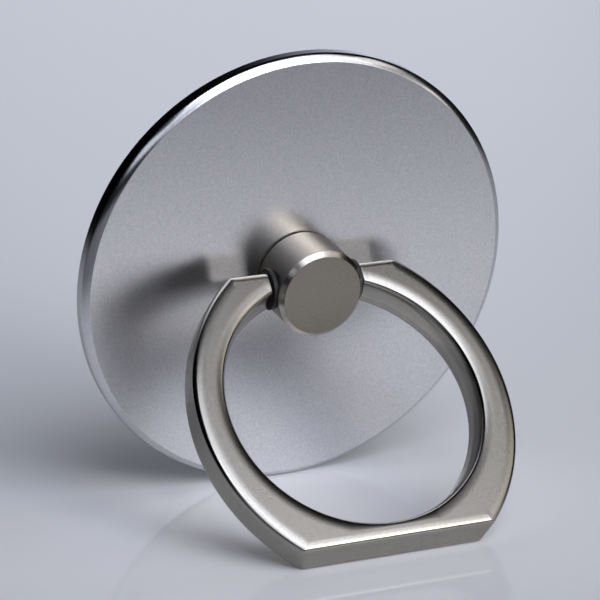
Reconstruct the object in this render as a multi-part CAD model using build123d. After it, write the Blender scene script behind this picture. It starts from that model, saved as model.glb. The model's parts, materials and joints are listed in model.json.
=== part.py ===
from build123d import *
import os
from math import asin, atan2, cos, degrees, radians, sin, sqrt, tan

# A phone ring holder: a round plate that sticks to a phone, a post that swivels at its centre, and a
# finger ring that folds about a pin through the post. Lengths are in millimetres and angles in degrees.
#
# Every piece is drawn in the plate's own frame: X along the hinge pin, Y up the plate's face, Z out of
# that face, and the origin on the post's axis at the face. One placing at the end stands the holder on
# the table, on the plate's rim and on the rear edge of the ring's foot.

# Plate
PLATE_DIAMETER = 40.0
PLATE_THICKNESS = 1.7
RIM_ROUND = 0.6  # polished round on the plate's front edge
PLATE_BACK_ROUND = 0.25

# Adhesive pad on the plate's back
PAD_DIAMETER = 36.0
PAD_THICKNESS = 0.8

# Swivel post and its stem through the plate
POST_DIAMETER = 7.9
POST_TOP = 4.95  # height of the post's flat end above the plate's face
POST_CHAMFER = 0.4
POST_BASE_ROUND = 0.08
STEM_DIAMETER = 3.2

# Swivel stack, from the plate's face to its back
GLIDE_DIAMETER = 7.3
GLIDE_THICKNESS = 0.15
SPRING_DIAMETER = 6.4
SPRING_THICKNESS = 0.18
SPRING_CONE = 0.14  # rise of the coned spring from its inner to its outer edge
RETAINER_DIAMETER = 6.0
RETAINER_THICKNESS = 0.22

# Screw from the back into the post
SCREW_DIAMETER = 2.0
SCREW_GRIP = 2.2  # threaded length inside the stem and the post
SCREW_HEAD_DIAMETER = 3.8
SCREW_HEAD_HEIGHT = 0.4
SCREW_SLOT_WIDTH = 0.5
SCREW_SLOT_DEPTH = 0.2

# Hinge through the post
HINGE_HEIGHT = 2.5  # hinge axis above the plate's face
PIN_DIAMETER = 1.2
PIN_GRIP = 2.0  # length of the pin inside each arm
HINGE_WASHER_DIAMETER = 2.0
HINGE_WASHER_THICKNESS = 0.4

# Finger ring
RING_THICKNESS = 3.0
RING_BORE_DIAMETER = 22.4
RING_BORE_TOP = 0.5  # from the hinge axis down to the top of the bore's circle
RING_SIDE_WALL = 3.1  # from the bore out to the ring's widest place
ARM_TOP_RISE = 0.95  # from the hinge axis up to the flat top of each arm
ARM_TOP_HALF_WIDTH = 7.8
FOOT_WALL = 2.4  # from the bore down to the rear edge of the flat foot
FOOT_HALF_WIDTH = 8.1
FOOT_SLANT = 13.0  # the foot's flat end rises towards the ring's front
RING_EDGE_ROUND = 0.45
RING_BORE_ROUND = 0.5
RING_CORNER_ROUND = 0.6
ARM_END_ROUND = 0.2
RING_ANGLE = 52.0  # between the ring and the plate, as the holder stands

# Clearances
RUNNING_FIT = 0.03  # radial, between pieces that turn on each other
PRESSED_FIT = 0.01  # radial, between pieces that stay together
FACE_FIT = 0.02  # between flat faces that slide on each other
WASHER_FIT = 0.1  # radial, round a washer or inside it
POCKET_FIT = 0.8  # radial, round the coned spring in the plate's pocket
ARM_CLEARANCE = 0.3  # between the post and each arm's end
END_ROOM = 0.1  # beyond the end of a screw or pin

# Places that the pieces share, from the driving dimensions
arm_end = POST_DIAMETER / 2 + ARM_CLEARANCE
washer_seat = arm_end - FACE_FIT - HINGE_WASHER_THICKNESS
post_bottom = FACE_FIT + GLIDE_THICKNESS
head_back = END_ROOM - PLATE_THICKNESS
retainer_back = head_back + SCREW_HEAD_HEIGHT
stem_end = retainer_back + RETAINER_THICKNESS
pocket_floor = stem_end + SPRING_THICKNESS + SPRING_CONE + FACE_FIT
screw_tip = stem_end + SCREW_GRIP
pad_back = -PLATE_THICKNESS - PAD_THICKNESS
bore_drop = RING_BORE_TOP + RING_BORE_DIAMETER / 2
foot_drop = RING_BORE_TOP + RING_BORE_DIAMETER + FOOT_WALL
ring_half_width = RING_BORE_DIAMETER / 2 + RING_SIDE_WALL
along_pin = Rotation(0, 90, 0)
hinge = Pos(0, 0, HINGE_HEIGHT)


def disc(diameter, bottom, top, bore=0.0):
    """A round disc about the plate's axis, between two heights, with a plain bore if one is given."""
    height = top - bottom
    middle = Pos(0, 0, bottom + height / 2)
    shape = middle * Cylinder(diameter / 2, height)
    if bore > 0:
        shape -= middle * Cylinder(bore / 2, 2 * height)
    return shape


def outer_edge(shape, end):
    """The widest circular edge at a turned solid's top (end -1) or bottom (end 0)."""
    return shape.edges().filter_by(GeomType.CIRCLE).group_by(Axis.Z)[end].sort_by(SortBy.RADIUS)[-1]


def base_plate():
    """Round plate with a polished front rim, a bearing hole for the stem and a pocket at the back."""
    plate = disc(PLATE_DIAMETER, -PLATE_THICKNESS, 0)
    plate = fillet(outer_edge(plate, -1), RIM_ROUND)
    plate = fillet(outer_edge(plate, 0), PLATE_BACK_ROUND)
    plate -= disc(STEM_DIAMETER + 2 * RUNNING_FIT, -2 * PLATE_THICKNESS, PLATE_THICKNESS)
    return plate - disc(SPRING_DIAMETER + 2 * POCKET_FIT, -2 * PLATE_THICKNESS, pocket_floor)


def adhesive_pad():
    """Foam pad that covers the pocket and sticks to the phone."""
    return disc(PAD_DIAMETER, pad_back, -PLATE_THICKNESS)


def swivel_post():
    """Turned post: chamfered end, stem through the plate, tapped hole and the pin's cross bore."""
    post = disc(POST_DIAMETER, post_bottom, POST_TOP)
    post = chamfer(outer_edge(post, -1), POST_CHAMFER)
    post = fillet(outer_edge(post, 0), POST_BASE_ROUND)
    post += disc(STEM_DIAMETER, stem_end, post_bottom)
    post -= disc(SCREW_DIAMETER + 2 * PRESSED_FIT, 2 * stem_end, screw_tip + END_ROOM)
    post -= hinge * along_pin * Cylinder(PIN_DIAMETER / 2 + PRESSED_FIT, 2 * POST_DIAMETER)
    washer_pocket = Cylinder(HINGE_WASHER_DIAMETER / 2 + WASHER_FIT, POST_DIAMETER)
    for side in (-1, 1):
        post -= hinge * Pos(side * (washer_seat + POST_DIAMETER / 2), 0, 0) * along_pin * washer_pocket
    return post


def glide_washer():
    """Thin slippery washer between the post and the plate's face."""
    return disc(GLIDE_DIAMETER, FACE_FIT, post_bottom, STEM_DIAMETER + 2 * WASHER_FIT)


def disc_spring():
    """Coned spring washer that draws the post down, pressing on the floor of the plate's pocket."""
    inner = STEM_DIAMETER / 2 + WASHER_FIT
    outer = SPRING_DIAMETER / 2
    section = Polyline(
        (inner, 0, stem_end),
        (outer, 0, stem_end + SPRING_CONE),
        (outer, 0, stem_end + SPRING_CONE + SPRING_THICKNESS),
        (inner, 0, stem_end + SPRING_THICKNESS),
        close=True,
    )
    return revolve(make_face(section), Axis.Z)


def retaining_washer():
    """Flat washer clamped between the stem's end and the screw's head."""
    return disc(RETAINER_DIAMETER, retainer_back, stem_end, SCREW_DIAMETER + 2 * WASHER_FIT)


def swivel_screw():
    """Slotted screw with a low head, driven into the post from the back."""
    screw = disc(SCREW_HEAD_DIAMETER, head_back, retainer_back)
    screw += disc(SCREW_DIAMETER, retainer_back, screw_tip)
    slot = Box(2 * SCREW_HEAD_DIAMETER, SCREW_SLOT_WIDTH, 2 * SCREW_SLOT_DEPTH)
    return screw - Pos(0, 0, head_back) * slot


def hinge_pin():
    """Cross pin pressed into the post, with a free end for each arm of the ring."""
    return hinge * along_pin * Cylinder(PIN_DIAMETER / 2, 2 * (arm_end + PIN_GRIP))


def hinge_washer(side):
    """Washer on the pin between the post's seat and an arm's end: side is -1 for left, 1 for right."""
    washer = Cylinder(HINGE_WASHER_DIAMETER / 2, HINGE_WASHER_THICKNESS)
    washer -= Cylinder(PIN_DIAMETER / 2 + RUNNING_FIT, 2 * HINGE_WASHER_THICKNESS)
    return hinge * Pos(side * (washer_seat + HINGE_WASHER_THICKNESS / 2), 0, 0) * along_pin * washer


def ring_outline():
    """The ring's outer border, hinge at the origin: flat arm tops, bowed sides and a flat foot."""
    top_left, top_right = ((side * ARM_TOP_HALF_WIDTH, ARM_TOP_RISE) for side in (-1, 1))
    foot_left, foot_right = ((side * FOOT_HALF_WIDTH, -foot_drop) for side in (-1, 1))
    border = Line(top_left, top_right) + Line(foot_right, foot_left)
    border += ThreePointArc(top_right, (ring_half_width, -bore_drop), foot_right)
    border += ThreePointArc(foot_left, (-ring_half_width, -bore_drop), top_left)
    return make_face(border)


def finger_ring():
    """Cast ring with softened edges, open between its arms, and a blind pin hole in each arm's end."""
    ring = extrude(ring_outline(), RING_THICKNESS / 2, both=True)
    below_foot = Pos(0, -foot_drop / 2, 0) * Box(2 * ring_half_width, foot_drop, 3 * RING_THICKNESS)
    ring -= Pos(0, -foot_drop, -RING_THICKNESS / 2) * Rotation(-FOOT_SLANT, 0, 0) * below_foot
    corners = ring.edges().filter_by(lambda edge: edge.bounding_box().size.Z > RING_THICKNESS / 4)
    ring = fillet(corners, RING_CORNER_ROUND)
    flats = ring.faces().sort_by(Axis.Z)
    ring = fillet(flats[0].edges() + flats[-1].edges(), RING_EDGE_ROUND)
    ring -= Pos(0, -bore_drop, 0) * Cylinder(RING_BORE_DIAMETER / 2, 2 * RING_THICKNESS)
    bore_rims = ring.edges().filter_by(GeomType.CIRCLE).sort_by(SortBy.RADIUS)
    bore_rims = bore_rims.filter_by(lambda edge: edge.is_closed)
    ring = fillet(bore_rims, RING_BORE_ROUND)
    ring -= Box(2 * arm_end, bore_drop, 2 * RING_THICKNESS)
    arm_ends = ring.faces().filter_by(Axis.X).filter_by_position(Axis.X, -arm_end, arm_end)
    ring = fillet(arm_ends.edges(), ARM_END_ROUND)
    hole_depth = PIN_GRIP + END_ROOM
    return ring - along_pin * Cylinder(PIN_DIAMETER / 2 + RUNNING_FIT, 2 * (arm_end + hole_depth))


def standing_place():
    """Where the plate stands on the table: it leans until its rim and the foot's rear edge are level."""
    swing = radians(RING_ANGLE)

    def on_ring(along, out):
        """A point of the ring in the plate's Y and Z, from its places up the ring and out of its front."""
        return (
            along * cos(swing) + out * sin(swing),
            HINGE_HEIGHT - along * sin(swing) + out * cos(swing),
        )

    rim_y, rim_z = RIM_ROUND - PLATE_DIAMETER / 2, -RIM_ROUND
    slant = radians(FOOT_SLANT)
    round_out = RING_THICKNESS / 2 - RING_EDGE_ROUND
    rear_along = RING_EDGE_ROUND * (tan(slant) + 1 / cos(slant)) - foot_drop
    front_along = rear_along + 2 * round_out * tan(slant)
    rear_y, rear_z = on_ring(rear_along, -round_out)
    front_y, front_z = on_ring(front_along, round_out)
    span = sqrt((rear_y - rim_y) ** 2 + (rear_z - rim_z) ** 2)
    lean = atan2(rear_y - rim_y, rear_z - rim_z) + asin((RIM_ROUND - RING_EDGE_ROUND) / span)
    rise = RIM_ROUND - rim_y * cos(lean) + rim_z * sin(lean)
    front = front_y * sin(lean) + front_z * cos(lean) + RING_EDGE_ROUND
    back = min(
        pad_back * cos(lean) - PAD_DIAMETER / 2 * sin(lean),
        -PLATE_THICKNESS * cos(lean) - PLATE_DIAMETER / 2 * sin(lean),
    )
    return Location((0, (front + back) / 2, rise), (90 + degrees(lean), 0, 0))


def main():
    pieces = {
        "base_plate": base_plate(),
        "adhesive_pad": adhesive_pad(),
        "swivel_post": swivel_post(),
        "glide_washer": glide_washer(),
        "disc_spring": disc_spring(),
        "retaining_washer": retaining_washer(),
        "swivel_screw": swivel_screw(),
        "hinge_pin": hinge_pin(),
        "hinge_washer_left": hinge_washer(-1),
        "hinge_washer_right": hinge_washer(1),
        "finger_ring": hinge * Rotation(-RING_ANGLE, 0, 0) * finger_ring(),
    }
    place = standing_place()
    os.makedirs("parts", exist_ok=True)
    for name, piece in pieces.items():
        export_step(place * piece, f"parts/{name}.step")


main()
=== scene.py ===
import json
from math import atan2, cos, radians, sin, sqrt, tan
import bpy
import numpy as np
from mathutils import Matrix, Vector


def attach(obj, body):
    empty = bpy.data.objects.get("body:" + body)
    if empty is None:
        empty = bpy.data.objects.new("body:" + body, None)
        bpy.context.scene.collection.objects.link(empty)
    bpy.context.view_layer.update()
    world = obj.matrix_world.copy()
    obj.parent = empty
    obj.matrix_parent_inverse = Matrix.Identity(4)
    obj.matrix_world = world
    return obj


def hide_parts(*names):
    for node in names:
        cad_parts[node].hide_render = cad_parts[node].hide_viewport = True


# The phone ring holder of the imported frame, dressed for its photograph: a satin round plate with a
# polished rim, a turned post, a cast finger ring with crowned edges, and a foam pad on the plate's back.
# Lengths are in millimetres and angles in degrees. Three frames share the X axis along the hinge pin: the
# row's own frame, the plate's (Y up its face, Z out of it) and the ring's (Y up the ring, Z out of its
# front).

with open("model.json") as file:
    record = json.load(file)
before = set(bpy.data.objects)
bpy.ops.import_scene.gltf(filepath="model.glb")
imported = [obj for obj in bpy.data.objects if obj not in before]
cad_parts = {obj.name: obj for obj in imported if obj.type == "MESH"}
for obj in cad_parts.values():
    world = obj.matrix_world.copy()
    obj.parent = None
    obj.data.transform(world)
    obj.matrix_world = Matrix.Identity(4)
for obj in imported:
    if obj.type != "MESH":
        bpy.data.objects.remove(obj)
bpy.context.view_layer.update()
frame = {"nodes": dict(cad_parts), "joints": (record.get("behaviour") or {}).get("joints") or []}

MILLIMETRE = 0.001

# Plate and pad, in the part's own sizes but for the rim
PLATE_RADIUS = 20.0
PLATE_THICKNESS = 1.7
# The rim: first and last tilt of its wide arc, that arc's radius, and the tight arc's
RIM_BOW = (28.0, 46.0, 2.1, 0.45)
RIM_POLISH_RAMP = 0.08
PLATE_BACK_ROUND = 0.25
STEM_HOLE_RADIUS = 1.63
POCKET_RADIUS = 4.0
POCKET_FLOOR = -0.64
PAD_RADIUS = 18.0
PAD_BACK = -2.5
PAD_EDGE_ROUND = 0.12

# Post, with a fine groove under its chamfer
POST_RADIUS = 3.95
POST_BOTTOM = 0.17
POST_TOP = 4.95
POST_CHAMFER = 0.4
POST_BASE_ROUND = 0.08
POST_EDGE_BREAK = 0.05
POST_POLISH_AND_HIGHLIGHT_RAMP = 0.05
STEM_RADIUS = 1.6
STEM_END = -0.98
SCREW_HOLE_RADIUS = 1.01
SCREW_HOLE_TOP = 1.32
GROOVE_WIDTH = 0.12
GROOVE_DEPTH = 0.07

# Black washers beside the post: bore and outer radius, and their two faces along the pin
SPACER_BORE = 0.66
SPACER_RADIUS = 1.8
SPACER_ENDS = (3.8, 4.2)

# Finger ring
RING_ANGLE = 52.0
RING_HALF = 1.5
BORE_RADIUS = 11.2
BORE_DROP = 11.7
RING_HALF_WIDTH = 14.3
ARM_TOP = 0.95
ARM_TOP_HALF_WIDTH = 7.8
FOOT_DROP = 25.3
FOOT_HALF_WIDTH = 8.1
FOOT_SLANT = 13.0
CORNER_ROUND = 0.6
ARM_END = 4.25
ARM_END_ROUND = 0.2
PIN_HOLE_RADIUS = 0.63
PIN_HOLE_DEPTH = 2.1
# The front's edges: width and tilt of the slight bow beside the edge, and the edge's own round, along the
# face and down the wall
TOP_EDGE = (0.30, 13.0, 0.55, 0.50)
SIDE_EDGE = (0.80, 13.0, 0.42, 0.42)
FOOT_EDGE = (0.55, 20.0, 0.32, 0.34)
BORE_EDGE = (0.90, 13.0, 0.58, 1.85)
REAR_ROUND = (0.45, 0.42)
REAR_FOOT_ROUND = (0.66, 0.64)
# Least lean of the way from border to bore against the border's normal, and the depth the polish and the
# painted highlight on the edges come in over
LEAST_LEAN = 0.6
RING_POLISH_AND_HIGHLIGHT_RAMP = 0.1

# Photograph's camera
CAMERA_SPOT = (-101.286, -209.269, 84.573)
CAMERA_TURN = (74.275, -0.377, -24.973)
CAMERA_LENS = 170.94

# Grain: the cloud's part in the tone and its shift of a metal's roughness, the share of the grain's height
# that polish takes off, and the tone and roughness shifts of polymer and foam
CLOUD_TONE = 0.06
CLOUD_ROUGHNESS = 0.06
POLISHED_OFF = 0.75
DULL_TONE = 0.5
DULL_ROUGHNESS = 0.2

# Floor: half its side in metres, its colour, its roughness under the holder and away from it, the share of
# its colour that is left away from it under painted shade, and the headings the painted shade fades in
# along, each with the distances where the fade starts and ends. The painted shade stands in for less light
# there.
FLOOR_REACH = 3.0
FLOOR_COLOUR = (0.93, 0.93, 0.94)
FLOOR_ROUGHNESS = (0.06, 0.65)
FLOOR_IOR = 1.3
FLOOR_SHADED_SHARE = 0.31
FLOOR_SHADE_FADES = (((0.0, -1.0, 0.0), 17.0, 72.0), ((-0.8, -0.6, 0.0), 26.0, 65.0))

# Light: panel size, distance and the height it is measured from, in metres, and tints
PANEL_SIZE = (0.30, 0.225)
PANEL_DISTANCE = 0.9
PANEL_AIM = 0.015
COOL = (0.82, 0.87, 1.0)
PALE = (0.94, 0.94, 1.0)
NEUTRAL = (1.0, 0.97, 0.93)


def frame_axes():
    """The plate's and the ring's origins and Y and Z axes in the row's frame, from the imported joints."""
    spots = {joint["name"]: joint for joint in frame["joints"]}
    out = np.array(spots["post_swivel"]["axis"], float)
    out /= np.linalg.norm(out)
    up = np.cross(out, (1.0, 0.0, 0.0))
    swing = radians(RING_ANGLE)
    along = cos(swing) * up - sin(swing) * out
    front = sin(swing) * up + cos(swing) * out
    plate_at = np.array(spots["post_swivel"]["pos_m"], float)
    hinge_at = np.array(spots["ring_fold"]["pos_m"], float)
    return (plate_at, up, out), (hinge_at, along, front)


PLATE_FRAME, RING_FRAME = frame_axes()


def placed(points, axes):
    """Points of a piece's own frame, in millimetres, as points of the row's frame, in metres."""
    origin, up, out = axes
    x, y, z = (points[..., i, None] * MILLIMETRE for i in range(3))
    return origin + x * np.array((1.0, 0.0, 0.0)) + y * up + z * out


def skinned(name, grid, loop_rows, material, values=None):
    """A mesh piece over a grid of points, rows by columns, whose columns close on themselves.

    Each cell between neighbouring rows and columns is a face. The rows close too if loop_rows is set, and a
    row whose points are all one point is a pole, so the cells beside it are triangles. The faces are turned
    outwards by the sign of the volume they hold. values gives each named attribute's number at every
    point."""
    rows, columns = grid.shape[:2]
    index = np.arange(rows * columns).reshape(rows, columns)
    poles = np.ptp(grid, axis=1).max(axis=1) < 1e-9
    index[poles] = index[poles][:, :1]
    lower = index if loop_rows else index[:-1]
    upper = np.roll(index, -1, axis=0) if loop_rows else index[1:]
    loop = [lower, np.roll(lower, -1, axis=1), np.roll(upper, -1, axis=1), upper]
    cells = np.stack(loop, axis=-1).reshape(-1, 4)
    points = grid.reshape(-1, 3)
    corners = points[cells] - points.mean(axis=0)
    volume = np.einsum("ij,ij->", corners[:, 0], np.cross(corners[:, 1], corners[:, 2]))
    volume += np.einsum("ij,ij->", corners[:, 0], np.cross(corners[:, 2], corners[:, 3]))
    if volume < 0:
        cells = cells[:, ::-1]
    kept = np.unique(cells)
    renumbered = np.zeros(rows * columns, int)
    renumbered[kept] = np.arange(len(kept))
    cells = renumbered[cells]
    doubled = cells == np.roll(cells, 1, axis=1)
    triangles = cells[doubled.any(axis=1)]
    triangles = triangles[~doubled[doubled.any(axis=1)]].reshape(-1, 3)
    quads = cells[~doubled.any(axis=1)]
    mesh = bpy.data.meshes.new(name)
    mesh.from_pydata(points[kept].tolist(), [], quads.tolist() + triangles.tolist())
    mesh.polygons.foreach_set("use_smooth", np.ones(len(mesh.polygons), bool))
    for key, numbers in (values or {}).items():
        layer = mesh.attributes.new(key, "FLOAT", "POINT")
        spread = np.broadcast_to(numbers, (rows, columns)).reshape(-1)
        layer.data.foreach_set("value", spread[kept].astype(np.float32))
    mesh.materials.append(material)
    mesh.update()
    piece = bpy.data.objects.new(name, mesh)
    bpy.context.scene.collection.objects.link(piece)
    return piece


def section(corners, straight=0.35, step=6.0):
    """A turned piece's section: straight runs between corners (radius, height, round), each corner an arc.

    A corner with a round is the arc of that radius tangent to both runs, a point every step degrees. Each
    run gets a point close to its ends and one about every straight millimetres, so that flats stay flat."""
    spots = np.array([corner[:2] for corner in corners], float)
    path = []
    for place, (radius, height, soft) in enumerate(corners):
        here = spots[place]
        if soft == 0 or place in (0, len(corners) - 1):
            path.append(here[None])
            continue
        before = spots[place - 1] - here
        after = spots[place + 1] - here
        before /= np.linalg.norm(before)
        after /= np.linalg.norm(after)
        half = np.arccos(np.clip(before @ after, -1, 1)) / 2
        middle = (before + after) / np.linalg.norm(before + after)
        centre = here + middle * soft / sin(half)
        start = here + before * soft / tan(half) - centre
        finish = here + after * soft / tan(half) - centre
        sweep = np.pi - 2 * half
        count = max(3, int(np.degrees(sweep) / step) + 1)
        share = np.linspace(0, 1, count)[:, None]
        arc = (np.sin((1 - share) * sweep) * start + np.sin(share * sweep) * finish) / sin(sweep)
        path.append(centre + arc)
    runs = [path[0]]
    for last, following in zip(path[:-1], path[1:]):
        gap = np.linalg.norm(following[0] - last[-1])
        near = min(0.02 / gap, 0.2)
        even = np.linspace(0, 1, int(gap / straight) + 2)[1:-1]
        share = np.unique(np.concatenate([[near, 1 - near], even]))
        runs.append(last[-1] + share[:, None] * (following[0] - last[-1]))
        runs.append(following)
    return np.concatenate(runs)


def turned(name, outline, axes, material, closed, around=300, values=None):
    """A piece turned about its frame's Z axis: the section's radius and height, carried round a circle."""
    angle = np.linspace(0, 2 * np.pi, around, endpoint=False)
    radius, height = outline[:, :1], outline[:, 1:]
    grid = np.stack([radius * np.cos(angle), radius * np.sin(angle), height + 0 * angle], axis=-1)
    return skinned(name, placed(grid, axes), closed, material, values)


def circle_through(first, second, third):
    """Centre and radius of the circle through three points."""
    a, b, c = (np.array(point, float) for point in (first, second, third))
    centre = np.linalg.solve(2 * np.array([b - a, c - a]), [b @ b - a @ a, c @ c - a @ a])
    return centre, np.linalg.norm(a - centre)


SIDE_CENTRE, SIDE_RADIUS = circle_through(
    (ARM_TOP_HALF_WIDTH, ARM_TOP), (RING_HALF_WIDTH, -BORE_DROP), (FOOT_HALF_WIDTH, -FOOT_DROP)
)
BORDER_STEPS = {"top": 15, "top_corner": 16, "side": 150, "foot_corner": 18, "foot": 40}
STATIONS = sum(BORDER_STEPS.values())


def border_parts():
    """Each part of the ring's right border, as its slice of the stations and the shares along it."""
    parts = {}
    first = 0
    for key, steps in BORDER_STEPS.items():
        share = np.linspace(0, 1, steps) if key == "top" else (np.arange(steps) + 0.5) / steps
        parts[key] = (slice(first, first + steps), share)
        first += steps
    return parts


BORDER_PARTS = border_parts()


def ring_border(level):
    """The ring's right outer border and its outward normals, each station at its own height.

    It runs along the flat top, round a corner arc, down the bowed side, round the foot's corner arc and in
    along the foot to the middle. The corner arcs touch the side's circle from inside, so their centres lie
    on that circle shrunk by the corner's round. The foot rises with the height by its slant."""
    level = level + np.zeros(STATIONS)
    foot = (level + RING_HALF) * tan(radians(FOOT_SLANT)) - FOOT_DROP
    reach = SIDE_RADIUS - CORNER_ROUND
    top_y = ARM_TOP - CORNER_ROUND
    foot_y = foot + CORNER_ROUND
    top_x = SIDE_CENTRE[0] + sqrt(reach ** 2 - (top_y - SIDE_CENTRE[1]) ** 2)
    foot_x = SIDE_CENTRE[0] + np.sqrt(reach ** 2 - (foot_y - SIDE_CENTRE[1]) ** 2)
    top_turn = atan2(top_y - SIDE_CENTRE[1], top_x - SIDE_CENTRE[0])
    foot_turn = np.arctan2(foot_y - SIDE_CENTRE[1], foot_x - SIDE_CENTRE[0])
    upright = np.pi / 2
    start = ARM_END + ARM_END_ROUND
    x, y, turn = np.zeros((3, STATIONS))
    part, share = BORDER_PARTS["top"]
    turn[part] = upright
    x[part] = start + share * (top_x - start - 0.05)
    y[part] = ARM_TOP
    part, share = BORDER_PARTS["top_corner"]
    turn[part] = upright + share * (top_turn - upright)
    x[part] = top_x + CORNER_ROUND * np.cos(turn[part])
    y[part] = top_y + CORNER_ROUND * np.sin(turn[part])
    part, share = BORDER_PARTS["side"]
    turn[part] = top_turn + share * (foot_turn[part] - top_turn)
    x[part] = SIDE_CENTRE[0] + SIDE_RADIUS * np.cos(turn[part])
    y[part] = SIDE_CENTRE[1] + SIDE_RADIUS * np.sin(turn[part])
    part, share = BORDER_PARTS["foot_corner"]
    turn[part] = foot_turn[part] - share * (upright + foot_turn[part])
    x[part] = foot_x[part] + CORNER_ROUND * np.cos(turn[part])
    y[part] = foot_y[part] + CORNER_ROUND * np.sin(turn[part])
    part, share = BORDER_PARTS["foot"]
    turn[part] = -upright
    x[part] = foot_x[part] * (1 - share)
    y[part] = foot[part]
    return np.stack([x, y], axis=-1), np.stack([np.cos(turn), np.sin(turn)], axis=-1)


def along_border(top, side, foot):
    """A number along the ring's border: its value on top, side and foot, eased over the corners."""
    number = np.empty(STATIONS)
    for key, value in (("top", top), ("side", side), ("foot", foot)):
        number[BORDER_PARTS[key][0]] = value
    for key, first, second in (("top_corner", top, side), ("foot_corner", side, foot)):
        part, share = BORDER_PARTS[key]
        number[part] = first + (second - first) * share * share * (3 - 2 * share)
    return number


def unit(vectors):
    """Vectors at length one."""
    return vectors / np.linalg.norm(vectors, axis=-1, keepdims=True)


def ring_sections():
    """The ring's right half as stations along its border by points round its section, and the mask of its
    polished edges, which also carries a painted highlight.

    Each station joins a point of the outer border to a point of the bore. Round the section go the front's
    outer edge, the front, its bore edge, the bore's wall, the rear's bore edge, the rear, its outer edge
    and the outer wall. A front edge is an arc that bows the face to its tilt, and from there part of a
    quarter ellipse down to the wall. A rear edge is a whole quarter ellipse."""
    border, normal = ring_border(RING_HALF)
    turn_out = np.arctan2(border[:, 0], border[:, 1] + BORE_DROP)
    first_in = np.arcsin((ARM_END + ARM_END_ROUND) / BORE_RADIUS)
    turn_in = first_in + (turn_out - turn_out[0]) * (np.pi - first_in) / (np.pi - turn_out[0])
    radial = np.stack([np.sin(turn_in), np.cos(turn_in)], axis=-1)
    bore = BORE_RADIUS * radial - (0, BORE_DROP)

    def outer_row(inset, level):
        """Points a distance in from the outer border, towards the bore."""
        spot, normal = ring_border(level)
        inward = unit(bore - spot)
        lean = np.maximum(-(inward * normal).sum(-1), LEAST_LEAN)
        return np.column_stack([spot + inward * (inset / lean)[:, None], level])

    def bore_row(inset, level):
        """Points a distance out from the bore, towards the outer border."""
        spot, _ = ring_border(level)
        outward = unit(spot - bore)
        lean = (outward * radial).sum(-1)
        return np.column_stack([bore + outward * (inset / lean)[:, None], level])

    def front_edge(row, sizes, steps):
        """Rows over a front edge from its face to its wall."""
        width, tilt, soft, steep = sizes
        bow = width / np.sin(tilt)
        start = np.arctan(np.tan(tilt) * soft / steep)
        reach = width + soft * (1 - np.sin(start))
        rows = []
        for share in np.linspace(0, 1, 8):
            drop = bow * (1 - np.cos(share * tilt))
            rows.append(row(reach - bow * np.sin(share * tilt), RING_HALF - drop))
        for share in np.linspace(0, 1, steps)[1:]:
            turn = start + share * (np.pi / 2 - start)
            level = RING_HALF - bow * (1 - np.cos(tilt)) - steep * (np.cos(start) - np.cos(turn))
            rows.append(row(soft * (1 - np.sin(turn)), level))
        return rows

    def rear_edge(row, sizes, steps):
        """Rows over a rear edge from its wall to its face."""
        wide, deep = (np.broadcast_to(size, STATIONS) for size in sizes)
        turns = np.linspace(0, np.pi / 2, steps)
        return [row(wide * (1 - cos(turn)), deep * (1 - sin(turn)) - RING_HALF) for turn in turns]

    def between(first, last, steps):
        """Rows at even steps from one row to another, without those two."""
        shares = np.linspace(0, 1, steps + 2)[1:-1]
        return [first + share * (last - first) for share in shares]

    outer_edge = [along_border(*sizes) for sizes in zip(TOP_EDGE, SIDE_EDGE, FOOT_EDGE)]
    outer_edge[1] = np.radians(outer_edge[1])
    bore_edge = [np.full(STATIONS, size) for size in BORE_EDGE]
    bore_edge[1] = np.radians(bore_edge[1])
    across = unit(bore - border)
    band = np.linalg.norm(bore - border, axis=-1)
    lean_out = np.maximum(-(across * normal).sum(-1), LEAST_LEAN)
    lean_in = -(across * radial).sum(-1)
    room = (band - (outer_edge[0] + outer_edge[2]) / lean_out) * lean_in - bore_edge[2]
    bore_edge[0] = np.clip(room - 0.05, 0.05, BORE_EDGE[0])
    rear_round = [along_border(size, size, foot) for size, foot in zip(REAR_ROUND, REAR_FOOT_ROUND)]
    front_outer = front_edge(outer_row, outer_edge, 14)[::-1]
    front_bore = front_edge(bore_row, bore_edge, 26)
    rear_bore = rear_edge(bore_row, REAR_ROUND, 10)
    rear_outer = rear_edge(outer_row, rear_round, 10)[::-1]
    runs = [
        (front_outer, 1), (between(front_outer[-1], front_bore[0], 12), 0),
        (front_bore, 1), (between(front_bore[-1], rear_bore[0], 10), 0),
        (rear_bore, 1), (between(rear_bore[-1], rear_outer[0], 8), 0),
        (rear_outer, 1), (between(rear_outer[-1], front_outer[0], 8), 0),
    ]
    rows = [row for run, _ in runs for row in run]
    level = np.abs([row[STATIONS // 2, 2] for row in rows])
    # Mask of the polished edges: smoother edges, and also a painted highlight where the metal is painted
    # paler
    shine = np.concatenate([np.full(len(run), float(edged)) for run, edged in runs])
    return np.stack(rows, axis=1), shine * np.clip((RING_HALF - level) / RING_POLISH_AND_HIGHLIGHT_RAMP, 0, 1)


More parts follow.
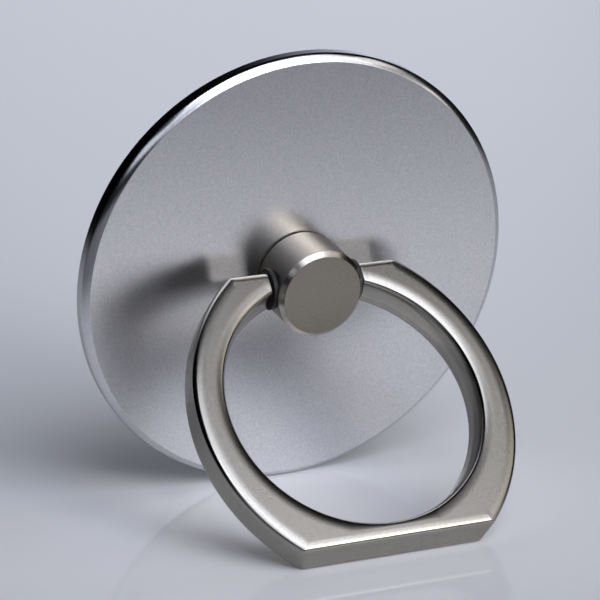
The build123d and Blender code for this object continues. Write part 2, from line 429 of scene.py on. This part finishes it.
def ring_grid():
    """The finger ring as one closed grid, and the mask of its polished edges, which also carries a painted
    highlight.

    The right half's sections are mirrored for the left. At each arm's end the section rolls over a small
    round, runs in as a ring of points to the pin's hole, and goes down the hole to a pole at its bottom."""
    right, shine = ring_sections()
    loop = right[0, :, 1:]
    tangent = unit(np.roll(loop, -1, axis=0) - np.roll(loop, 1, axis=0))
    normal = np.stack([tangent[:, 1], -tangent[:, 0]], axis=-1)
    normal *= np.sign((normal * (loop - loop.mean(axis=0))).sum())
    roll = np.linspace(0, np.pi / 2, 8)[1:, None]
    rim = loop - (ARM_END_ROUND * (1 - np.cos(roll)))[..., None] * normal
    rim_x = ARM_END + ARM_END_ROUND * (1 - np.sin(roll))
    turn = np.arctan2(rim[-1, :, 1], rim[-1, :, 0])
    hole = PIN_HOLE_RADIUS * np.stack([np.cos(turn), np.sin(turn)], axis=-1)
    seat = rim[-1] + np.linspace(0, 1, 6)[1:, None, None] * (hole - rim[-1])
    depth = ARM_END + np.linspace(0, PIN_HOLE_DEPTH, 4)[1:, None]

    def layers(x, pairs):
        """Loops of points in the ring's Y and Z, each set at its own place along the pin."""
        return np.concatenate([np.broadcast_to(x[..., None], pairs.shape[:-1] + (1,)), pairs], axis=-1)

    well = layers(depth, np.broadcast_to(hole, (3,) + hole.shape))
    pole = layers(depth[-1:], np.zeros((1,) + hole.shape))
    end = np.concatenate([layers(rim_x, rim), layers(np.full((5, 1), ARM_END), seat), well, pole])
    half = np.concatenate([end[::-1], right])
    return np.concatenate([half, half[::-1] * (-1.0, 1.0, 1.0)]), shine


def group_of(name, inputs, outputs):
    """An empty shader node group with named number or colour sockets, and its input and output nodes."""
    tree = bpy.data.node_groups.new(name, "ShaderNodeTree")
    kinds = {"value": "NodeSocketFloat", "colour": "NodeSocketColor", "vector": "NodeSocketVector"}
    for key, kind, start in inputs:
        socket = tree.interface.new_socket(key, in_out="INPUT", socket_type=kinds[kind])
        socket.default_value = start
    for key, kind in outputs:
        tree.interface.new_socket(key, in_out="OUTPUT", socket_type=kinds[kind])
    return tree, tree.nodes.new("NodeGroupInput"), tree.nodes.new("NodeGroupOutput")


def node(tree, kind, links=None, **settings):
    """A node of a tree with its settings, its input sockets linked or filled by name or number."""
    made = tree.nodes.new(kind)
    for key, value in settings.items():
        setattr(made, key, value)
    for key, value in (links or {}).items():
        socket = made.inputs[key]
        if isinstance(value, bpy.types.NodeSocket):
            tree.links.new(value, socket)
        else:
            socket.default_value = value
    return made


def scaled(tree, value, factor, offset):
    """A number times a factor plus an offset, as a socket of a tree."""
    made = node(tree, "ShaderNodeMath", {0: value, 1: factor, 2: offset}, operation="MULTIPLY_ADD")
    return made.outputs[0]


def tinted(tree, colour, share):
    """A colour times a number, as a socket of a tree."""
    return node(tree, "ShaderNodeVectorMath", {0: colour, "Scale": share}, operation="SCALE").outputs[0]


def satin_grain_group():
    """Fine grain of blasted or plated metal: a height, a roughness shift and a tone, from two noises.

    The fine noise gives the height and most of the tone. The broad one gives the roughness shift, for the
    slow unevenness of plating, and a small part of the tone. Both sizes are in millimetres."""
    tree, given, out = group_of(
        "satin_grain",
        [("Position", "vector", (0, 0, 0)), ("Speckle", "value", 0.12), ("Cloud size", "value", 4.0)],
        [("Height", "value"), ("Roughness shift", "value"), ("Tone", "value")],
    )

    def noise_of(size, detail, roughness):
        """A noise of a given size, and the same noise less its middle value."""
        scale = node(tree, "ShaderNodeMath", {0: 1.0 / MILLIMETRE, 1: given.outputs[size]},
                     operation="DIVIDE")
        noise = node(tree, "ShaderNodeTexNoise", {
            "Vector": given.outputs["Position"], "Scale": scale.outputs[0],
            "Detail": detail, "Roughness": roughness})
        centred = node(tree, "ShaderNodeMath", {0: noise.outputs["Fac"], 1: 0.5}, operation="SUBTRACT")
        return noise.outputs["Fac"], centred.outputs[0]

    height, speck = noise_of("Speckle", 2.0, 0.6)
    _, shift = noise_of("Cloud size", 3.0, 0.5)
    tree.links.new(height, out.inputs["Height"])
    tree.links.new(shift, out.inputs["Roughness shift"])
    tree.links.new(scaled(tree, shift, CLOUD_TONE, speck), out.inputs["Tone"])
    return tree


GRAIN = satin_grain_group()


def blank_material(name):
    """A new material and its emptied node tree."""
    material = bpy.data.materials.new(name)
    material.use_nodes = True
    material.node_tree.nodes.clear()
    return material, material.node_tree


def grain_of(tree, speckle):
    """The shared grain on the object's own coordinates, as a node of a tree."""
    spot = node(tree, "ShaderNodeTexCoord")
    filled = {"Position": spot.outputs["Object"], "Speckle": speckle}
    return node(tree, "ShaderNodeGroup", filled, node_tree=GRAIN)


def bumped(tree, height, depth):
    """The surface's normal under a height of a depth in millimetres, as a socket of a tree."""
    made = node(tree, "ShaderNodeBump", {"Height": height, "Strength": 1.0, "Distance": depth * MILLIMETRE})
    return made.outputs[0]


def metal(name, colour, roughness, speckle, grain_depth, shine=0.0, highlight_lift=0.0, tone_depth=0.06):
    """Satin plated metal: the shared grain, and edges that are smoother by shine and paler by
    highlight_lift, a painted highlight.
    """
    material, tree = blank_material(name)
    grain = grain_of(tree, speckle)
    polish_and_highlight = node(tree, "ShaderNodeAttribute", attribute_name="polish_and_highlight").outputs["Fac"]
    bright = scaled(tree, grain.outputs["Tone"], tone_depth, scaled(tree, polish_and_highlight, highlight_lift, 1.0))
    rough = scaled(tree, grain.outputs["Roughness shift"], CLOUD_ROUGHNESS, roughness)
    kept = scaled(tree, polish_and_highlight, -POLISHED_OFF, 1.0)
    height = node(tree, "ShaderNodeMath", {0: grain.outputs["Height"], 1: kept}, operation="MULTIPLY")
    shader = node(tree, "ShaderNodeBsdfPrincipled", {
        "Base Color": tinted(tree, colour, bright), "Roughness": scaled(tree, polish_and_highlight, -shine, rough),
        "Metallic": 1.0, "Normal": bumped(tree, height.outputs[0], grain_depth)})
    node(tree, "ShaderNodeOutputMaterial", {"Surface": shader.outputs[0]})
    return material


def dull(name, colour, roughness, speckle, grain_depth):
    """Matt polymer or foam: the shared grain in tone, roughness and height."""
    material, tree = blank_material(name)
    grain = grain_of(tree, speckle)
    bright = scaled(tree, grain.outputs["Tone"], DULL_TONE, 1.0)
    shader = node(tree, "ShaderNodeBsdfPrincipled", {
        "Base Color": tinted(tree, colour, bright),
        "Roughness": scaled(tree, grain.outputs["Roughness shift"], DULL_ROUGHNESS, roughness),
        "Normal": bumped(tree, grain.outputs["Height"], grain_depth)})
    node(tree, "ShaderNodeOutputMaterial", {"Surface": shader.outputs[0]})
    return material


PLATE_METAL = metal(
    "plate_metal", (0.675, 0.672, 0.692), 0.29, 0.20, 0.003, shine=0.11, tone_depth=0.45
)
# The ring's and the post's polished edges are also painted paler by highlight_lift: a painted highlight on
# top of the real polish
RING_METAL = metal(
    "ring_metal", (0.30, 0.284, 0.253), 0.27, 0.16, 0.003, shine=0.09, highlight_lift=0.1, tone_depth=0.4
)
POST_METAL = metal(
    "post_metal", (0.285, 0.262, 0.226), 0.32, 0.14, 0.003, shine=0.10, highlight_lift=0.6, tone_depth=0.4
)
SPRING_STEEL = metal("spring_steel", (0.55, 0.55, 0.56), 0.25, 0.08, 0.002)
BLACK_POLYMER = dull("black_polymer", (0.008, 0.008, 0.009), 0.6, 0.1, 0.004)
FOAM = dull("foam", (0.10, 0.10, 0.105), 0.75, 0.12, 0.03)


def make_plate():
    """The plate turned from its section: face, polished rim, back, spring pocket and stem hole.

    The rim breaks from the face at its first tilt, bows over a wide arc, and runs over a tighter arc to the
    wall."""
    start, change, bow, tight = RIM_BOW
    broad_turn = np.radians(np.linspace(start, change, 24))
    tight_turn = np.radians(np.linspace(change, 90.0, 18))[1:-1]
    wide = bow * (sin(radians(change)) - sin(radians(start))) + tight * (1 - sin(radians(change)))
    deep = bow * (cos(radians(start)) - cos(radians(change))) + tight * cos(radians(change))
    broad = np.column_stack([
        PLATE_RADIUS - wide + bow * (np.sin(broad_turn) - sin(radians(start))),
        bow * (np.cos(broad_turn) - cos(radians(start))),
    ])
    close = np.column_stack([
        PLATE_RADIUS - tight * (1 - np.sin(tight_turn)),
        tight * np.cos(tight_turn) - deep,
    ])
    rim = np.concatenate([broad[1:], close])
    face = section([(STEM_HOLE_RADIUS, 0.0, 0.0), (PLATE_RADIUS - wide, 0.0, 0.0)])
    back = section([
        (PLATE_RADIUS, -deep, 0.0),
        (PLATE_RADIUS, -PLATE_THICKNESS, PLATE_BACK_ROUND),
        (POCKET_RADIUS, -PLATE_THICKNESS, 0.03),
        (POCKET_RADIUS, POCKET_FLOOR, 0.03),
        (STEM_HOLE_RADIUS, POCKET_FLOOR, 0.0),
    ], step=4.0)
    outline = np.concatenate([face, rim, back])
    edge = np.clip((outline[:, 0] - (PLATE_RADIUS - wide)) / RIM_POLISH_RAMP, 0, 1)[:, None]
    piece = turned("plate", outline, PLATE_FRAME, PLATE_METAL, True, around=360, values={"polish_and_highlight": edge})
    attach(piece, "base")
    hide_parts("base_plate")


def make_pad():
    """The foam pad turned from its section: two flats and a cut edge with softened corners."""
    outline = section([
        (0.0, -PLATE_THICKNESS, 0.0),
        (PAD_RADIUS, -PLATE_THICKNESS, 0.02),
        (PAD_RADIUS, PAD_BACK, PAD_EDGE_ROUND),
        (0.0, PAD_BACK, 0.0),
    ], straight=0.6)
    piece = turned("pad", outline, PLATE_FRAME, FOAM, False, around=300)
    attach(piece, "base")
    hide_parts("adhesive_pad")


def make_post():
    """The post turned from its section: end, chamfer, groove, side, base, stem and the screw's hole."""
    chamfer_foot = POST_TOP - POST_CHAMFER
    outline = section([
        (0.0, POST_TOP, 0.0),
        (POST_RADIUS - POST_CHAMFER, POST_TOP, POST_EDGE_BREAK),
        (POST_RADIUS, chamfer_foot, 0.02),
        (POST_RADIUS - GROOVE_DEPTH, chamfer_foot - GROOVE_WIDTH / 2, 0.0),
        (POST_RADIUS, chamfer_foot - GROOVE_WIDTH, 0.02),
        (POST_RADIUS, POST_BOTTOM, POST_BASE_ROUND),
        (STEM_RADIUS, POST_BOTTOM, 0.03),
        (STEM_RADIUS, STEM_END, 0.05),
        (SCREW_HOLE_RADIUS, STEM_END, 0.03),
        (SCREW_HOLE_RADIUS, SCREW_HOLE_TOP, 0.03),
        (0.0, SCREW_HOLE_TOP, 0.0),
    ], straight=0.25)
    # The chamfer's mask: real polish, and a painted highlight that paints the chamfer paler
    on_chamfer = outline[:, 1] > chamfer_foot - 0.01
    reach = np.clip((outline[:, 0] - (POST_RADIUS - POST_CHAMFER)) / POST_POLISH_AND_HIGHLIGHT_RAMP, 0, 1)
    edge = (reach * on_chamfer)[:, None]
    piece = turned("post", outline, PLATE_FRAME, POST_METAL, False, around=240, values={"polish_and_highlight": edge})
    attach(piece, "swivel")
    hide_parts("swivel_post")


def make_spacer(side, name, node_name):
    """A black washer turned about the pin, beside the post: side is -1 for the left, 1 for the right."""
    near, far = SPACER_ENDS
    outline = section([
        (SPACER_BORE, near, 0.03),
        (SPACER_RADIUS, near, 0.05),
        (SPACER_RADIUS, far, 0.05),
        (SPACER_BORE, far, 0.03),
    ], straight=0.2)
    angle = np.linspace(0, 2 * np.pi, 96, endpoint=False)
    radius, along_pin = outline[:, :1], outline[:, 1:]
    grid = np.stack([side * along_pin + 0 * angle, radius * np.cos(angle), radius * np.sin(angle)], axis=-1)
    piece = skinned(name, placed(grid, RING_FRAME), True, BLACK_POLYMER)
    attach(piece, "swivel")
    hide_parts(node_name)


def make_ring():
    """The finger ring's grid, stood in its own frame."""
    grid, shine = ring_grid()
    piece = skinned("finger_loop", placed(grid, RING_FRAME), False, RING_METAL, {"polish_and_highlight": shine[None]})
    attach(piece, "ring")
    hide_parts("finger_ring")


def dress(names, material):
    """Gives CAD nodes that stay in the scene their finished material."""
    for name in names:
        mesh = frame["nodes"][name].data
        mesh.materials.clear()
        mesh.materials.append(material)


make_plate()
make_pad()
make_post()
make_ring()
make_spacer(-1, "spacer_left", "hinge_washer_left")
make_spacer(1, "spacer_right", "hinge_washer_right")
dress(("disc_spring", "retaining_washer", "swivel_screw", "hinge_pin"), SPRING_STEEL)
dress(("glide_washer",), BLACK_POLYMER)


def make_camera():
    """The photograph's camera, as fitted to the plate, the post and the ring."""
    lens = bpy.data.cameras.new("camera")
    lens.lens = CAMERA_LENS
    lens.sensor_width = 36.0
    lens.clip_start = 0.01
    lens.clip_end = 20.0
    camera = bpy.data.objects.new("camera", lens)
    camera.location = [value * MILLIMETRE for value in CAMERA_SPOT]
    camera.rotation_euler = [radians(value) for value in CAMERA_TURN]
    bpy.context.scene.collection.objects.link(camera)
    bpy.context.scene.camera = camera


def make_floor():
    """A plain pale glossy floor that turns matt, and darker by painted shade, in front and to the left of
    the front.
    """
    corners = [(-1, -1), (1, -1), (1, 1), (-1, 1)]
    mesh = bpy.data.meshes.new("floor")
    mesh.from_pydata([(x * FLOOR_REACH, y * FLOOR_REACH, 0) for x, y in corners], [], [(0, 1, 2, 3)])
    material, tree = blank_material("floor")
    spot = node(tree, "ShaderNodeTexCoord")
    shade_and_matt = node(tree, "ShaderNodeValue")
    # Painted shade: each heading darkens the floor's colour away from the holder, standing in for less
    # light falling there
    for heading, start, finish in FLOOR_SHADE_FADES:
        reached = node(tree, "ShaderNodeVectorMath", {0: spot.outputs["Object"], 1: heading},
                       operation="DOT_PRODUCT")
        fade = node(tree, "ShaderNodeMapRange", {
            "Value": reached.outputs["Value"],
            "From Min": start * MILLIMETRE, "From Max": finish * MILLIMETRE,
            "To Min": 0.0, "To Max": 1.0}, interpolation_type="SMOOTHSTEP")
        shade_and_matt = node(tree, "ShaderNodeMath", {0: shade_and_matt.outputs[0], 1: fade.outputs[0]}, operation="MAXIMUM")
    # Painted shade: the floor's colour drops to the shaded share where the fade is full
    left = scaled(tree, shade_and_matt.outputs[0], FLOOR_SHADED_SHARE - 1.0, 1.0)
    near, far = FLOOR_ROUGHNESS
    shader = node(tree, "ShaderNodeBsdfPrincipled", {
        "Base Color": tinted(tree, FLOOR_COLOUR, left),
        "Roughness": scaled(tree, shade_and_matt.outputs[0], far - near, near), "IOR": FLOOR_IOR})
    node(tree, "ShaderNodeOutputMaterial", {"Surface": shader.outputs[0]})
    mesh.materials.append(material)
    floor = bpy.data.objects.new("floor", mesh)
    bpy.context.scene.collection.objects.link(floor)


def compass(azimuth, elevation):
    """The direction towards an azimuth and elevation: azimuth 0 is in front, 90 at the holder's right."""
    turn, rise = radians(azimuth), radians(elevation)
    return Vector((sin(turn) * cos(rise), -cos(turn) * cos(rise), sin(rise)))


def light_wall(panels):
    """Soft light panels of one size at one distance, each facing the holder from its own direction."""
    for azimuth, elevation, watts, colour in panels:
        lamp = bpy.data.lights.new("panel", "AREA")
        lamp.shape = "RECTANGLE"
        lamp.size, lamp.size_y = PANEL_SIZE
        lamp.energy = watts
        lamp.color = colour
        panel = bpy.data.objects.new("panel", lamp)
        toward = compass(azimuth, elevation)
        panel.location = toward * PANEL_DISTANCE + Vector((0, 0, PANEL_AIM))
        panel.rotation_euler = toward.to_track_quat("Z", "Y").to_euler()
        bpy.context.scene.collection.objects.link(panel)


def make_room(glows):
    """A dark room with soft round glows, each full inside its inner angle and gone at its outer one."""
    world = bpy.data.worlds.new("room")
    bpy.context.scene.world = world
    world.use_nodes = True
    tree = world.node_tree
    tree.nodes.clear()
    spot = node(tree, "ShaderNodeTexCoord")
    sky = node(tree, "ShaderNodeVectorMath", {0: (0.0, 0.0, 0.0)}, operation="ADD")
    for azimuth, elevation, inner, outer, strength, colour in glows:
        toward = compass(azimuth, elevation)
        near = node(tree, "ShaderNodeVectorMath", {0: spot.outputs["Generated"], 1: toward},
                    operation="DOT_PRODUCT")
        soft = node(tree, "ShaderNodeMapRange", {
            "Value": near.outputs["Value"],
            "From Min": cos(radians(outer)), "From Max": cos(radians(inner)),
            "To Min": 0.0, "To Max": strength}, interpolation_type="SMOOTHSTEP")
        glow = tinted(tree, colour, soft.outputs[0])
        sky = node(tree, "ShaderNodeVectorMath", {0: sky.outputs[0], 1: glow}, operation="ADD")
    lit = node(tree, "ShaderNodeBackground", {"Color": sky.outputs[0], "Strength": 1.0})
    node(tree, "ShaderNodeOutputWorld", {"Surface": lit.outputs[0]})


make_camera()
make_floor()
make_room(((156, 5, 5, 35, 0.48, COOL), (156, 9, 2, 14, 0.82, COOL)))
light_wall((
    (-40, 22, 0.20, COOL), (-20, 22, 0.15, COOL), (0, 22, 0.60, COOL), (20, 22, 1.75, NEUTRAL),
    (40, 22, 0.25, PALE), (60, 22, 0.09, NEUTRAL),
    (-20, 36, 0.28, COOL), (0, 36, 0.45, COOL), (20, 36, 0.70, COOL), (40, 36, 0.30, PALE),
    (60, 36, 0.23, NEUTRAL),
    (-20, 50, 0.80, COOL), (0, 50, 0.45, COOL), (20, 50, 0.70, COOL), (40, 50, 0.30, PALE),
    (0, 64, 0.56, COOL), (40, 64, 0.09, PALE),
    (60, 8, 0.26, NEUTRAL),
))
bpy.context.scene.view_settings.view_transform = "Standard"
